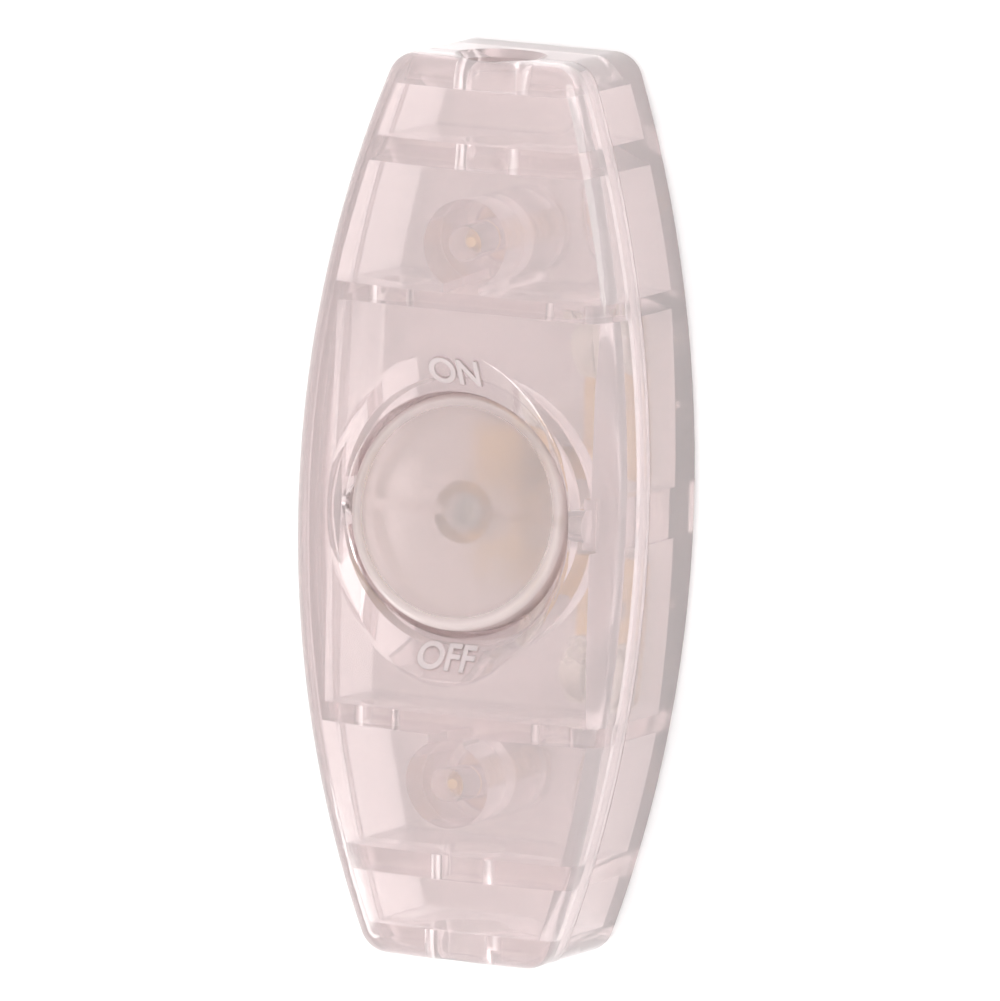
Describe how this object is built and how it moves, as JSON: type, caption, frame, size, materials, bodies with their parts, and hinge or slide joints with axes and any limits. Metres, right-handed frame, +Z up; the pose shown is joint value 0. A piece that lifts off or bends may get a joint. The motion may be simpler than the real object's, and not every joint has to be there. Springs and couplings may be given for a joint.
{
  "type": "inline cord switch",
  "caption": "Barrel-shaped inline lamp-cord switch in clear rose-tinted plastic, with a round ON/OFF rocker in a finger dish, see-saw contact, screw terminals and cord bores.",
  "frame": {"origin": "middle of the flat underside", "axes": "+X along the cord towards the ON end, +Y across the body, +Z up through the rocker"},
  "size_m": [0.072, 0.0286, 0.0158],
  "materials": {
    "clear_shell": "clear, faintly rose-tinted injection-moulded plastic",
    "clear_button": "clear, faintly rose-tinted injection-moulded plastic",
    "nylon": "natural nylon",
    "spring_steel": "drawn spring wire",
    "brass": "rolled and stamped brass strip",
    "silver": "headed silver contact alloy",
    "nickel_steel": "nickel-plated steel",
    "yellow_zinc": "yellow-passivated zinc on steel"
  },
  "bodies": {
    "housing": {"cover": "clear_shell", "base": "clear_shell", "line_terminal": "brass", "load_terminal": "brass", "fixed_rivet": "silver", "line_terminal_screw": "nickel_steel", "load_terminal_screw": "nickel_steel", "line_wire_washer": "nickel_steel", "load_wire_washer": "nickel_steel", "front_housing_screw": "yellow_zinc", "rear_housing_screw": "yellow_zinc"},
    "rocker": {"rocker_button": "clear_button", "plunger_spring": "spring_steel"},
    "plunger": {"plunger": "nylon"},
    "seesaw": {"seesaw_contact": "brass", "moving_rivet": "silver"}
  },
  "joints": [
    {"name": "rocker_tilt", "type": "hinge", "parent": "housing", "child": "rocker", "pos_m": [0, 0, 0.012], "axis": [0, -1, 0], "range_deg": [0, 14]},
    {"name": "seesaw_tilt", "type": "hinge", "parent": "housing", "child": "seesaw", "pos_m": [0, 0, 0.00505], "axis": [0, 1, 0], "range_deg": [0, 11]},
    {"name": "plunger_press", "type": "slide", "parent": "rocker", "child": "plunger", "axis": [0.1219, 0, 0.9925], "range_m": [0, 0.0006], "stiffness_N_per_m": 800, "springref_m": -0.001, "deforming": ["plunger_spring"]}
  ],
  "couplings": [
    {"joint": "seesaw_tilt", "follows": "rocker_tilt", "ratio": 0.78571}
  ]
}
